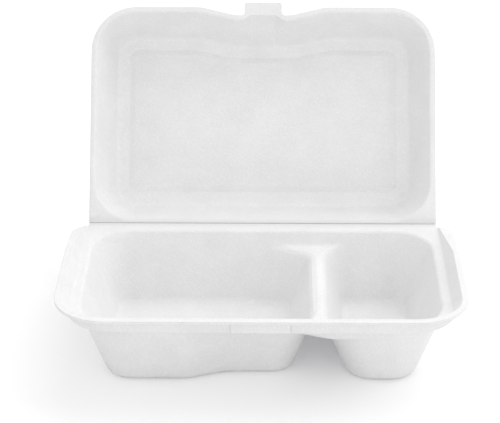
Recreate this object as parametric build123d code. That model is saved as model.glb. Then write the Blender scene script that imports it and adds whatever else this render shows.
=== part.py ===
from build123d import *
import os
from math import atan2, cos, degrees, hypot, radians, sin, tan

# Hinged two-compartment food box, moulded from one sheet of plant fibre: a tray with two wells, and a
# lid that folds along the crease at the tray's back. The lid stands open and leans back.
# The crease runs along X, the front faces -Y, and the table is at z = 0.

# Rim that the lid closes on.
rim_width = 210.0        # between the feet of the guard wall
rim_depth = 133.0        # from the crease to the guard wall's foot in front
rim_corner = 28.0
shelf_height = 42.0      # top of the shelf above the table
tray_wall = 1.5
lid_wall = 0.9
seat_gap = 0.3           # between the shelf and the closed lid, and between the two edges at the crease
side_gap = 0.6           # between the lid's edge and the guard wall

# Guard wall that stands around the shelf, and the lip on it.
guard_height = 9.0
guard_side_run = 4.6
guard_front_run = 2.5
guard_round = 1.0
lip_side = 3.2
lip_front = 4.5
lip_corner = 30.0
lip_rear_corner = 18.0
lip_rear = 2.0           # from the crease to the lip's back edge
guard_rise = 54.0        # length over which the lip climbs from the crease's ends to its full height

# Bay below the shelf, and the two wells under it.
side_shelf = 5.0
front_shelf = 5.0
rear_shelf = 9.5
shelf_round = 2.4
bay_rear_corner = 24.0
bay_front_corner = 28.0
tray_draft = 20.5
floor_round = 4.5
land_drop = 8.2          # from the shelf down to the divider's top
land_width = 7.4
land_middle = 32.2       # from the middle of the box to the middle of the divider
land_round = 4.5
land_foot_round = 2.0    # where the divider meets the walls in front and behind

# Corners of the wells at the divider. The large well's rear corner is cut off by a slanting wall.
large_front_corner = 22.0
cut_width = 21.0
cut_depth = 10.5
cut_round = 13.0
cut_rear_round = 28.0
small_rear_corner = 16.0
small_front_corner = 26.0

# Shallow bow in the middle of the front, deeper in the tray's bay than in the lid.
bow_half = 38.0
bow_flat_half = 17.0
bow_depth = 5.0
bay_bow_depth = 8.0
bow_round = 25.0

# Lid, measured as it lies closed on the shelf.
lean = 31.0              # angle from upright at which the lid stands open
flange = 3.2
hinge_flange = 1.6
flange_round = 1.6
lid_depth = 25.0
lid_draft = 24.7
lid_corner = 24.0
lid_round = 4.0
panel_margin = 22.0      # from the lid's edge to the sunken panel
panel_step = 1.8
panel_step_run = 3.2

# Tab at the lid's front, the groove behind it, and the slot in the guard wall that it snaps into.
tab_width = 22.5
tab_length = 7.8
tab_tip_round = 1.5
tab_root_round = 2.5
groove_width = 15.4
groove_mouth = 25.0
slot_width = 31.0
slot_height = 5.0
slot_tip_gap = 0.25
flap_wall = 0.9          # of the sheet left hanging in front of the slot
flap_overlap = 0.6


def rounded(points, rounds):
    return make_face(FilletPolyline(*points, radius=rounds, close=True))


def bow_points(front, depth, grow):
    """Half-widths and places of the front edge, which bows inwards by depth, moved outwards by grow."""
    slope = atan2(depth, bow_half - bow_flat_half)
    slide = grow * tan(slope / 2)
    return bow_half - slide, bow_flat_half - slide, front - grow, front - grow + depth


def bowed_outline(half, back, front, corners, depth, grow):
    """Face with rounded corners whose front edge bows inwards in the middle, moved outwards by grow."""
    wide, flat, low, high = bow_points(front, depth, grow)
    left = [(-half - grow, back + grow), (-half - grow, low), (-wide, low), (-flat, high)]
    right = [(-x, y) for x, y in reversed(left)]
    rounds = [corners[0] + grow, corners[1] + grow, bow_round + grow, bow_round - grow]
    return rounded(left + right, rounds + rounds[::-1])


def rounded_plate(half, back, front, back_round, front_round):
    """Face of a rectangle with one corner radius at the back and another in front."""
    points = [(-half, back), (-half, front), (half, front), (half, back)]
    return rounded(points, [back_round, front_round, front_round, back_round])


def end_face(solid, place):
    return solid.faces().sort_by(Axis.Z)[place]


def round_opening(solid, height, radius):
    """Rounds the edge around the opening in the flat face at the given height."""
    flats = [f for f in solid.faces().filter_by(Axis.Z) if abs(f.center().Z - height) < seat_gap]
    edges = [e for f in flats for w in f.inner_wires() for e in w.edges()]
    return fillet(edges, radius)


def well_mouths(wall, turn):
    """Faces of the two wells where the divider's rounded edge has turned down by the given angle."""
    draft_share = tan(radians(tray_draft))
    radius = land_round - wall
    drop = land_round - radius * cos(radians(turn))
    crown_half = land_width / 2 - land_round * tan(radians(45 - tray_draft / 2))
    land_half = crown_half + radius * sin(radians(turn))
    grow = wall / cos(radians(tray_draft)) - (land_drop + drop) * draft_share
    half = rim_width / 2 - side_shelf + grow
    back = -rear_shelf + grow
    outer = [bay_rear_corner + grow, bay_front_corner + grow]
    eased = land_width / 2 - land_half
    wide, flat, low, high = bow_points(-rim_depth + front_shelf, bay_bow_depth, grow)
    edge = land_middle - land_half
    cut_length = hypot(cut_width, cut_depth)
    cut_front = -rear_shelf - land_drop * draft_share - cut_depth
    cut_side = cut_front + eased * (cut_length - cut_depth) / cut_width
    cut_back = edge - eased + (eased * cut_length - cut_width * (back - cut_front)) / cut_depth
    points = [(-half, back), (-half, low), (-wide, low), (-flat, high), (edge, high)]
    points += [(edge, cut_side), (cut_back, back)]
    inner = [large_front_corner + eased, cut_round + eased, cut_rear_round + eased]
    large = rounded(points, [*outer, bow_round + grow, bow_round - grow, *inner])
    edge = land_middle + land_half
    points = [(edge, back), (edge, low), (half, low), (half, back)]
    inner = [small_rear_corner + eased, small_front_corner + eased]
    small = rounded(points, [*inner, *reversed(outer)])
    level = Pos(0, 0, shelf_height - land_drop - drop)
    return level * large, level * small


def tray_hollow(wall):
    """Space of the bay and both wells, up to the sheet's inner face, or its outer face if wall is given."""
    side = wall / cos(radians(tray_draft))
    half = rim_width / 2 - side_shelf
    front = -rim_depth + front_shelf
    corners = [bay_rear_corner, bay_front_corner]
    outline = bowed_outline(half, -rear_shelf, front, corners, bay_bow_depth, side)
    hollow = extrude(Pos(0, 0, shelf_height) * outline, amount=-land_drop - wall, taper=tray_draft)
    hollow = fillet(end_face(hollow, 0).edges(), land_foot_round + wall)
    full_turn = 90 - tray_draft
    turn_shares = (0, 0.5, 1)
    for crown, shoulder, mouth in zip(*(well_mouths(wall, full_turn * s) for s in turn_shares)):
        depth = mouth.center().Z - tray_wall + wall
        well = extrude(mouth, amount=-depth, taper=tray_draft)
        well = fillet(end_face(well, 0).edges(), floor_round + wall)
        above = extrude(crown, amount=land_drop + wall, taper=-tray_draft)
        hollow = hollow + above + loft([crown, shoulder, mouth], ruled=True) + well
    return hollow


def guard_space(wall):
    """Space inside the guard wall and over the shelf, or out to the sheet's far face if wall is given."""
    side_share = guard_side_run / guard_height
    front_share = guard_front_run / guard_height
    half = rim_width / 2 + wall * (hypot(1, side_share) - side_share)
    front = -rim_depth - wall * (hypot(1, front_share) - front_share)
    low = shelf_height - wall
    high = shelf_height + guard_height
    rise = high - low
    wide = half + side_share * rise
    across = [(-half, 0, low), (half, 0, low), (wide, 0, high), (-wide, 0, high)]
    deep = front - front_share * rise
    along = [(0, rim_depth, low), (0, front, low), (0, deep, high), (0, rim_depth, high)]
    sides = extrude(make_face(Polyline(*across, close=True)), amount=2 * rim_depth, dir=(0, 1, 0), both=True)
    ends = extrude(make_face(Polyline(*along, close=True)), amount=rim_width, dir=(1, 0, 0), both=True)
    space = sides & ends
    corners = [e for e in space.edges() if e.bounding_box().size.Z > rise / 2 and e.center().Y < 0]
    space = fillet(corners, rim_corner + wall)
    return fillet(end_face(space, 0).edges(), guard_round + wall)


def climb_line(drop):
    """Height of the lip from front to back, as a line in the YZ plane, lowered by drop."""
    low = shelf_height - drop
    high = low + guard_height
    points = [(0, -2 * rim_depth, high), (0, -guard_rise, high), (0, 0, low), (0, rim_depth, low)]
    return FilletPolyline(*points, radius=guard_rise / 2)


def climbing_slab(depth):
    """Block across the whole tray whose top and underside follow the lip's climb."""
    top = climb_line(0)
    under = climb_line(depth)
    ends = [Line(top @ 0, under @ 0), Line(top @ 1, under @ 1)]
    face = make_face([*top.edges(), *under.edges(), *ends])
    return extrude(face, amount=rim_width, dir=(1, 0, 0), both=True)


def tray_blank():
    """Block inside the sheet's trimmed edge: the lip's outline, and the strip that reaches the crease."""
    half = rim_width / 2 + guard_side_run + lip_side
    front = -rim_depth - guard_front_run - lip_front
    outline = rounded_plate(half, -lip_rear, front, lip_rear_corner, lip_corner)
    strip_depth = rim_depth / 2
    strip = Pos(0, -seat_gap / 2 - strip_depth / 2) * Rectangle(rim_width - 2 * side_gap, strip_depth)
    return extrude(outline + strip, amount=2 * shelf_height)


def slot_front():
    """Plane just in front of the closed lid's tab."""
    return -rim_depth + side_gap + bow_depth - tab_length - slot_tip_gap


def tab_slot():
    """Slot through the foot of the guard wall, and a recess above it that the tab passes on its way down."""
    reach = 2 * lip_front
    slot = Pos(0, -rim_depth, shelf_height + slot_height / 2) * Box(slot_width, 2 * reach, slot_height)
    recess = Pos(0, slot_front() + reach / 2, shelf_height + guard_height)
    return slot + recess * Box(slot_width, reach, 2 * guard_height)


def slot_flap():
    """Strip of the sheet that the cut for the slot leaves hanging from the lip, pushed out in front of it."""
    width = slot_width + 2 * flap_overlap
    height = guard_height - tray_wall / 2
    middle = Pos(0, slot_front() - flap_wall / 2, shelf_height + seat_gap + (height - seat_gap) / 2)
    return middle * Box(width, flap_wall, height - seat_gap)


def make_tray():
    outside = guard_space(tray_wall) + tray_hollow(tray_wall)
    outside = round_opening(outside, shelf_height - tray_wall, shelf_round - tray_wall)
    inside = guard_space(0) + tray_hollow(0)
    inside = round_opening(inside, shelf_height, shelf_round)
    blank = tray_blank()
    body = outside & climbing_slab(2 * shelf_height) & blank
    lip = climbing_slab(tray_wall) & blank
    return body + lip - inside - tab_slot() + slot_flap()


def lid_dome(wall):
    """Space under the lid, up to the sheet's inner face, or its outer face if wall is given."""
    half = rim_width / 2 - side_gap - flange
    front = -rim_depth + side_gap + flange
    base = seat_gap / 2
    side = wall / cos(radians(lid_draft))
    outline = bowed_outline(half, -hinge_flange, front, [lid_corner, lid_corner], bow_depth, side)
    dome = extrude(Pos(0, 0, base) * outline, amount=lid_depth + wall, taper=lid_draft)
    dome = fillet(end_face(dome, -1).edges(), lid_round + wall)
    corner = rim_corner - side_gap
    edge = [rim_width / 2 - side_gap, 0, -rim_depth + side_gap, [corner, corner]]
    panel = bowed_outline(*edge, bow_depth, -panel_margin)
    slope = degrees(atan2(panel_step_run, panel_step))
    return dome - extrude(Pos(0, 0, base + lid_depth + wall) * panel, amount=-panel_step, taper=slope)


def tab_groove(wall):
    """Groove in the lid's front wall that runs from the tab's root and fades out above the ledge."""
    base = seat_gap / 2
    root = -rim_depth + side_gap + bow_depth
    deep = lid_depth - lid_round
    slant = Vector(0, flange + deep * tan(radians(lid_draft)), deep)
    along = slant.normalized()
    inward = Vector(0, along.Z, -along.Y)
    floor = Plane(origin=Vector(0, root, base) - inward * wall, x_dir=(1, 0, 0), z_dir=inward)
    mouth = floor.offset(flange * along.Z + wall)
    narrow = floor * Pos(0, -slant.length / 2) * Rectangle(groove_width + wall, slant.length)
    wide = mouth * Pos(0, -slant.length / 2) * Rectangle(groove_mouth + wall, slant.length)
    below = Pos(0, 0, base - lid_depth) * Box(rim_width, 4 * rim_depth, 2 * lid_depth)
    return loft([narrow, wide], ruled=True) - below


def make_lid():
    half = rim_width / 2 - side_gap
    wide, flat, low, high = bow_points(-rim_depth + side_gap, bow_depth, 0)
    tip = high - tab_length
    tab = tab_width / 2
    corner = rim_corner - side_gap
    left = [(-half, -seat_gap / 2), (-half, low), (-wide, low), (-flat, high), (-tab, high), (-tab, tip)]
    right = [(-x, y) for x, y in reversed(left)]
    rounds = [0, corner, bow_round, bow_round, tab_root_round, tab_tip_round]
    base = seat_gap / 2
    plate = extrude(Pos(0, 0, base) * rounded(left + right, rounds + rounds[::-1]), amount=lid_wall)
    inside = lid_dome(0)
    body = plate + lid_dome(lid_wall) - inside
    body = round_opening(body, base, flange_round)
    body = round_opening(body, base + lid_wall, flange_round - lid_wall)
    return body + tab_groove(lid_wall) - tab_groove(0) - inside


tray = make_tray()
lid = Pos(0, 0, shelf_height + seat_gap / 2) * Rot(X=-90 - lean) * make_lid()
middle = Compound([tray, lid]).bounding_box().center().Y
os.makedirs("parts", exist_ok=True)
export_step(Pos(0, -middle, 0) * tray, "parts/tray.step")
export_step(Pos(0, -middle, 0) * lid, "parts/lid.step")
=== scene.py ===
import math

import bpy
from mathutils import Euler, Matrix, Vector


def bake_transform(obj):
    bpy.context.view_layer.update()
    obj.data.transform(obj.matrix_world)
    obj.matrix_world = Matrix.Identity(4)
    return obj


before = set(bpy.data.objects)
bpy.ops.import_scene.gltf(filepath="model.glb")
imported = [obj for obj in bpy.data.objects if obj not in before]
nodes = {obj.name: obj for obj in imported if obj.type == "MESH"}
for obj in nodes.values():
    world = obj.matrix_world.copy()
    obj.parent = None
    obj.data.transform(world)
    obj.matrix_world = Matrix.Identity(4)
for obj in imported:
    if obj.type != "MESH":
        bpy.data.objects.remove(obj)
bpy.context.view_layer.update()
bpy.ops.object.select_all(action="DESELECT")

# ---------------------------------------------------------------------------------------------------
# Tray: plant fibre drawn onto a wire screen as wet pulp, then pressed dry between hot dies.
# The upper face comes out smooth, and the underside keeps a faint print of the screen.
# ---------------------------------------------------------------------------------------------------
FIBRE_WHITE = (0.86, 0.857, 0.86, 1)
FIBRE_SHADE = (0.77, 0.767, 0.771, 1)
CLOUD_SCALE = 55
CLOUD_RANGE = (0.3, 0.7)
CLOUD_SHARE = 0.4
FIBRE_SIZE = (0.0042, 0.0006, 0.0006)
FIBRE_TURNS = ((0, 0.2, 0.4), (0, -0.3, 1.9), (0, 1.1, 0.9), (0, -0.8, 2.8))
FIBRE_RANGE = (0.50, 0.68)
FIBRE_SHARE = 0.3
FIBRE_HEIGHT = 0.35
GRAIN_SCALE = 900
GRAIN_HEIGHT = 0.5
STRAND_SCALE = 420
STRAND_HEIGHT = 0.16
SCREEN_PITCH = 0.0011
SCREEN_HEIGHT = 0.05
SCREEN_FACING = (0.05, 0.3)
ROUGHNESS = (0.58, 0.74)
SPECULAR = 0.35
RELIEF_STRENGTH = 0.8
RELIEF_DEPTH = 0.00025
EDGE_SOFTNESS = 0.0006
EDGE_SAMPLES = 6
PRESSED_ROUND = 0.0003
ROUND_SEGMENTS = 2
SHARP_EDGE = math.radians(38)
FLAT_TURN = math.radians(0.4)
WELD_REACH = 1e-5
# Painted shade along the crease: the grey mixed into the colour near the fold, and how far from the fold it
# reaches.
CREASE_PAINTED_SHADE = (0.74, 0.74, 0.745, 1)
CREASE_SHADE_REACH = (0.0008, 0.0058)
CREASE_Y = 0.028835
CREASE_Z = 0.04215
DOWNWARD = (0, 0, -1)


def add_sockets(group, way, sockets):
    for name, kind in sockets:
        group.interface.new_socket(name=name, in_out=way, socket_type="NodeSocket" + kind)


def socket(sockets, name):
    """Socket by its place or identifier, or else by its name."""
    if isinstance(name, int):
        return sockets[name]
    found = [s for s in sockets if s.identifier == name]
    return found[0] if found else sockets[name]


def link(tree, source, out, target, into):
    tree.links.new(socket(source.outputs, out), socket(target.inputs, into))


def noise_node(tree, scale, detail, kind="FBM"):
    node = tree.nodes.new("ShaderNodeTexNoise")
    node.noise_type = kind
    node.inputs["Scale"].default_value = scale
    node.inputs["Detail"].default_value = detail
    return node


def math_node(tree, operation, second=None):
    node = tree.nodes.new("ShaderNodeMath")
    node.operation = operation
    if second is not None:
        node.inputs[1].default_value = second
    return node


def vector_node(tree, operation, second=None):
    node = tree.nodes.new("ShaderNodeVectorMath")
    node.operation = operation
    if second is not None:
        node.inputs[1].default_value = second
    return node


def range_node(tree, taken=(0, 1), given=(0, 1)):
    """Brings values from the range taken to the range given."""
    node = tree.nodes.new("ShaderNodeMapRange")
    for name, value in zip(("From Min", "From Max", "To Min", "To Max"), taken + given):
        node.inputs[name].default_value = value
    return node


def colour_mix(tree):
    node = tree.nodes.new("ShaderNodeMix")
    node.data_type = "RGBA"
    return node


def make_pulp_group():
    """Surface of pressed pulp: cloudy tone, short fibres that lie in all directions, the screen's print, and
    painted shade along the crease.
    """
    group = bpy.data.node_groups.new("pressed_pulp", "ShaderNodeTree")
    add_sockets(group, "INPUT", [("Place", "Vector"), ("Facing", "Vector"), ("Screen Side", "Vector")])
    add_sockets(group, "OUTPUT", [("Color", "Color"), ("Height", "Float"), ("Roughness", "Float")])
    start = group.nodes.new("NodeGroupInput")
    end = group.nodes.new("NodeGroupOutput")

    cloud = noise_node(group, CLOUD_SCALE, 3)
    grain = noise_node(group, GRAIN_SCALE, 2)
    strands = noise_node(group, STRAND_SCALE, 2, "RIDGED_MULTIFRACTAL")
    for node in (cloud, grain, strands):
        link(group, start, "Place", node, "Vector")

    # Print of the screen's wires, only on the faces that lay on the screen.
    side = vector_node(group, "DOT_PRODUCT")
    link(group, start, "Facing", side, 0)
    link(group, start, "Screen Side", side, 1)
    mask = range_node(group, SCREEN_FACING)
    link(group, side, "Value", mask, "Value")
    wires = None
    split = group.nodes.new("ShaderNodeSeparateXYZ")
    link(group, start, "Place", split, "Vector")
    for axis in "XYZ":
        turn = math_node(group, "MULTIPLY", 2 * math.pi / SCREEN_PITCH)
        link(group, split, axis, turn, 0)
        wave = math_node(group, "SINE")
        link(group, turn, "Value", wave, 0)
        if wires is None:
            wires = wave
        else:
            total = math_node(group, "ADD")
            link(group, wires, "Value", total, 0)
            link(group, wave, "Value", total, 1)
            wires = total
    screen = math_node(group, "MULTIPLY")
    link(group, wires, "Value", screen, 0)
    link(group, mask, "Result", screen, 1)
    screen_height = math_node(group, "MULTIPLY", SCREEN_HEIGHT)
    link(group, screen, "Value", screen_height, 0)

    # Relief of the grain and of the matted strands, with the print on it.
    strand_height = math_node(group, "MULTIPLY", STRAND_HEIGHT)
    link(group, strands, "Fac", strand_height, 0)
    grain_height = math_node(group, "MULTIPLY_ADD", GRAIN_HEIGHT)
    link(group, grain, "Fac", grain_height, 0)
    link(group, strand_height, "Value", grain_height, 2)
    pressed_height = math_node(group, "ADD")
    link(group, grain_height, "Value", pressed_height, 0)
    link(group, screen_height, "Value", pressed_height, 1)

    # Cloudy tone and single fibres, which show in the colour and stand out a little.
    tone = range_node(group, CLOUD_RANGE)
    link(group, cloud, "Fac", tone, "Value")
    mottle = math_node(group, "MULTIPLY", CLOUD_SHARE)
    link(group, tone, "Result", mottle, 0)
    for turn in FIBRE_TURNS:
        lay = group.nodes.new("ShaderNodeMapping")
        lay.vector_type = "TEXTURE"
        lay.inputs["Rotation"].default_value = turn
        lay.inputs["Scale"].default_value = FIBRE_SIZE
        link(group, start, "Place", lay, "Vector")
        threads = noise_node(group, 1, 1)
        link(group, lay, "Vector", threads, "Vector")
        thread = range_node(group, FIBRE_RANGE)
        link(group, threads, "Fac", thread, "Value")
        share = math_node(group, "MULTIPLY_ADD", FIBRE_SHARE)
        link(group, thread, "Result", share, 0)
        link(group, mottle, "Value", share, 2)
        mottle = share
    height = math_node(group, "MULTIPLY_ADD", FIBRE_HEIGHT)
    link(group, mottle, "Value", height, 0)
    link(group, pressed_height, "Value", height, 2)
    link(group, height, "Value", end, "Height")
    tint = colour_mix(group)
    socket(tint.inputs, "A_Color").default_value = FIBRE_SHADE
    socket(tint.inputs, "B_Color").default_value = FIBRE_WHITE
    link(group, mottle, "Value", tint, "Factor_Float")

    # Painted shade along the crease: the colour is greyed the nearer it is to the fold, standing in for the
    # shade in the fold's hollow.
    off_crease = vector_node(group, "SUBTRACT", (0, CREASE_Y, CREASE_Z))
    link(group, start, "Place", off_crease, 0)
    across = vector_node(group, "MULTIPLY", (0, 1, 1))
    link(group, off_crease, "Vector", across, 0)
    distance = vector_node(group, "LENGTH")
    link(group, across, "Vector", distance, 0)
    crease_shade = range_node(group, CREASE_SHADE_REACH, (1, 0))
    crease_shade.interpolation_type = "SMOOTHSTEP"
    link(group, distance, "Value", crease_shade, "Value")
    shaded_tint = colour_mix(group)
    socket(shaded_tint.inputs, "B_Color").default_value = CREASE_PAINTED_SHADE
    link(group, crease_shade, "Result", shaded_tint, "Factor_Float")
    link(group, tint, "Result_Color", shaded_tint, "A_Color")
    link(group, shaded_tint, "Result_Color", end, "Color")

    rough = range_node(group, (0, 1), ROUGHNESS)
    link(group, grain, "Fac", rough, "Value")
    link(group, rough, "Result", end, "Roughness")
    return group


pulp_group = make_pulp_group()


def make_fibre(name, screen_side):
    """White pressed fibre whose screen-printed face looks along screen_side."""
    material = bpy.data.materials.new(name)
    material.use_nodes = True
    tree = material.node_tree
    shader = tree.nodes["Principled BSDF"]
    shader.inputs["Specular IOR Level"].default_value = SPECULAR
    place = tree.nodes.new("ShaderNodeTexCoord")
    pulp = tree.nodes.new("ShaderNodeGroup")
    pulp.node_tree = pulp_group
    pulp.inputs["Screen Side"].default_value = screen_side
    link(tree, place, "Object", pulp, "Place")
    link(tree, place, "Normal", pulp, "Facing")
    link(tree, pulp, "Color", shader, "Base Color")
    link(tree, pulp, "Roughness", shader, "Roughness")
    soft_edge = tree.nodes.new("ShaderNodeBevel")
    soft_edge.samples = EDGE_SAMPLES
    soft_edge.inputs["Radius"].default_value = EDGE_SOFTNESS
    bump = tree.nodes.new("ShaderNodeBump")
    bump.inputs["Strength"].default_value = RELIEF_STRENGTH
    bump.inputs["Distance"].default_value = RELIEF_DEPTH
    link(tree, soft_edge, "Normal", bump, "Normal")
    link(tree, pulp, "Height", bump, "Height")
    link(tree, bump, "Normal", shader, "Normal")
    return material


def dress(piece, material):
    piece.data.materials.clear()
    piece.data.materials.append(material)


def soften(node):
    """Rounds the edges that the dies leave, which a fibre sheet never keeps sharp."""
    weld = node.modifiers.new("joined", "WELD")
    weld.merge_threshold = WELD_REACH
    flat = node.modifiers.new("flat_faces", "DECIMATE")
    flat.decimate_type = "DISSOLVE"
    flat.angle_limit = FLAT_TURN
    rounding = node.modifiers.new("pressed_round", "BEVEL")
    rounding.width = PRESSED_ROUND
    rounding.segments = ROUND_SEGMENTS
    rounding.limit_method = "ANGLE"
    rounding.angle_limit = SHARP_EDGE


dress(nodes["tray"], make_fibre("tray_fibre", DOWNWARD))
soften(nodes["tray"])

# ---------------------------------------------------------------------------------------------------
# Lid: the same pressed sheet as the tray, thinner, domed, and folded up along the crease.
# Its smooth face looks towards the food, and the screen's print is on the outside.
# ---------------------------------------------------------------------------------------------------
LID_LEAN = math.radians(31)
lid_outside = (0, math.cos(LID_LEAN), -math.sin(LID_LEAN))
dress(nodes["lid"], make_fibre("lid_fibre", lid_outside))
soften(nodes["lid"])

# ---------------------------------------------------------------------------------------------------
# Crease: the strip of the sheet that the dies scored thin between tray and lid, so that it folds there.
# It is one with both, reaches a little way into each, and is bent up step by step towards the lid.
# Each step gives its place behind and above the fold's axis, and how far the strip has turned up there.
# ---------------------------------------------------------------------------------------------------
CREASE_HALF = 0.1040
CREASE_THICK = 0.0005
CREASE_START = -0.00075
CREASE_STEPS = (
    (-0.00015, -0.00042, 0),
    (0.00013, -0.00027, 28),
    (0.00057, -0.00013, 45),
    (0.0009, 0.00033, 59),
)
REAR_FACING = 0.9


def crease_point(step):
    behind, above, _ = step
    return (0, CREASE_Y + behind, CREASE_Z + above)


first_y, first_z, _ = CREASE_STEPS[0]
length = first_y - CREASE_START
bpy.ops.mesh.primitive_cube_add(size=1)
crease = bpy.context.object
crease.name = "crease"
bpy.ops.object.mode_set(mode="EDIT")
bpy.ops.transform.resize(value=(2 * CREASE_HALF, length, CREASE_THICK))
bpy.ops.transform.translate(value=(0, CREASE_Y + first_y - length / 2, CREASE_Z + first_z))
bpy.ops.object.mode_set(mode="OBJECT")
for side in crease.data.polygons:
    side.select = side.normal.y > REAR_FACING
bpy.ops.object.mode_set(mode="EDIT")
bpy.ops.mesh.select_mode(type="FACE")
for past, step in zip(CREASE_STEPS, CREASE_STEPS[1:]):
    shift = (0, step[0] - past[0], step[1] - past[1])
    bpy.ops.mesh.extrude_region_move(TRANSFORM_OT_translate={"value": shift})
    turn = math.radians(past[2] - step[2])
    bpy.ops.transform.rotate(value=turn, orient_axis="X", center_override=crease_point(step))
bpy.ops.object.mode_set(mode="OBJECT")
dress(crease, make_fibre("crease_fibre", DOWNWARD))
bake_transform(crease)

# ---------------------------------------------------------------------------------------------------
# Floor: a plain white studio sweep of painted board that the box stands on, and that takes its shadow.
# Seen directly it is lifted to the white of the surround; for the light that it throws back it is plain.
# ---------------------------------------------------------------------------------------------------
FLOOR_SIZE = 6
FLOOR_PAINT = (0.9, 0.9, 0.9, 1)
SEEN_PAINT = (0.73, 0.725, 0.715, 1)
SEEN_GLOW = (0.272, 0.277, 0.287, 1)

bpy.ops.mesh.primitive_plane_add(size=FLOOR_SIZE)
floor = bpy.context.object
floor.name = "floor"
floor_paint = bpy.data.materials.new("floor_white")
floor_paint.use_nodes = True
paint_tree = floor_paint.node_tree
paint = paint_tree.nodes["Principled BSDF"]
paint.inputs["Base Color"].default_value = FLOOR_PAINT
seen_paint = paint_tree.nodes.new("ShaderNodeBsdfDiffuse")
seen_paint.inputs["Color"].default_value = SEEN_PAINT
glow = paint_tree.nodes.new("ShaderNodeEmission")
glow.inputs["Color"].default_value = SEEN_GLOW
seen_floor = paint_tree.nodes.new("ShaderNodeAddShader")
link(paint_tree, seen_paint, "BSDF", seen_floor, 0)
link(paint_tree, glow, "Emission", seen_floor, 1)
rays = paint_tree.nodes.new("ShaderNodeLightPath")
to_eye = math_node(paint_tree, "MAXIMUM")
link(paint_tree, rays, "Is Camera Ray", to_eye, 0)
link(paint_tree, rays, "Is Glossy Ray", to_eye, 1)
either = math_node(paint_tree, "MAXIMUM")
link(paint_tree, to_eye, "Value", either, 0)
link(paint_tree, rays, "Is Transmission Ray", either, 1)
choice = paint_tree.nodes.new("ShaderNodeMixShader")
link(paint_tree, either, "Value", choice, 0)
link(paint_tree, paint, "BSDF", choice, 1)
link(paint_tree, seen_floor, "Shader", choice, 2)
link(paint_tree, choice, "Shader", paint_tree.nodes["Material Output"], "Surface")
floor.data.materials.append(floor_paint)

# ---------------------------------------------------------------------------------------------------
# Light: an even white surround and four soft lamps, each a lit square of cloth on a stand.
# They stand at the right, high up, behind and in front, so that walls that look right are brighter.
# ---------------------------------------------------------------------------------------------------
SURROUND_COLOUR = (1, 1, 1, 1)
SURROUND_LEVEL = 0.92
LAMP_SIZE = 0.8
LAMP_AIM = Vector((0, 0, 0.05))

world = bpy.data.worlds.new("studio")
bpy.context.scene.world = world
world.use_nodes = True
surround = world.node_tree.nodes["Background"]
surround.inputs["Color"].default_value = SURROUND_COLOUR
surround.inputs["Strength"].default_value = SURROUND_LEVEL


def soft_lamp(name, place, power):
    bpy.ops.object.light_add(type="AREA", location=place)
    lamp = bpy.context.object
    lamp.name = name
    lamp.data.energy = power
    lamp.data.size = LAMP_SIZE
    aim = LAMP_AIM - Vector(place)
    lamp.rotation_euler = aim.to_track_quat("-Z", "Y").to_euler()


soft_lamp("side_lamp", (1.363, 0.496, 0.676), 3.4)
soft_lamp("high_lamp", (0.862, 0.314, 1.311), 3.4)
soft_lamp("rear_lamp", (0.1, 0.75, 1.386), 3.1)
soft_lamp("front_lamp", (0.542, -1.489, 0.223), 2.7)

# ---------------------------------------------------------------------------------------------------
# Camera: a long lens on a stand, in front of the box and above it, looking down at about 25 degrees.
# Its place and its angles are fitted to points on the rims of tray and lid.
# ---------------------------------------------------------------------------------------------------
IMAGE_WIDTH = 500
FOCAL_PIXELS = 1800
SENSOR_WIDTH = 36
NEAREST = 0.01
CAMERA_PLACE = (0.0061, -0.9486, 0.5111)
CAMERA_PITCH = math.radians(25.25)
CAMERA_YAW = math.radians(0.79)
CAMERA_ROLL = math.radians(-0.11)

lens = bpy.data.cameras.new("view")
lens.sensor_width = SENSOR_WIDTH
lens.lens = FOCAL_PIXELS * SENSOR_WIDTH / IMAGE_WIDTH
lens.clip_start = NEAREST
camera = bpy.data.objects.new("view", lens)
bpy.context.scene.collection.objects.link(camera)
level_view = Euler((math.pi / 2 - CAMERA_PITCH, 0, CAMERA_YAW)).to_matrix()
camera.location = CAMERA_PLACE
camera.rotation_euler = (level_view @ Matrix.Rotation(CAMERA_ROLL, 3, "Z")).to_euler()
bpy.context.scene.camera = camera
bpy.context.scene.view_settings.view_transform = "Standard"
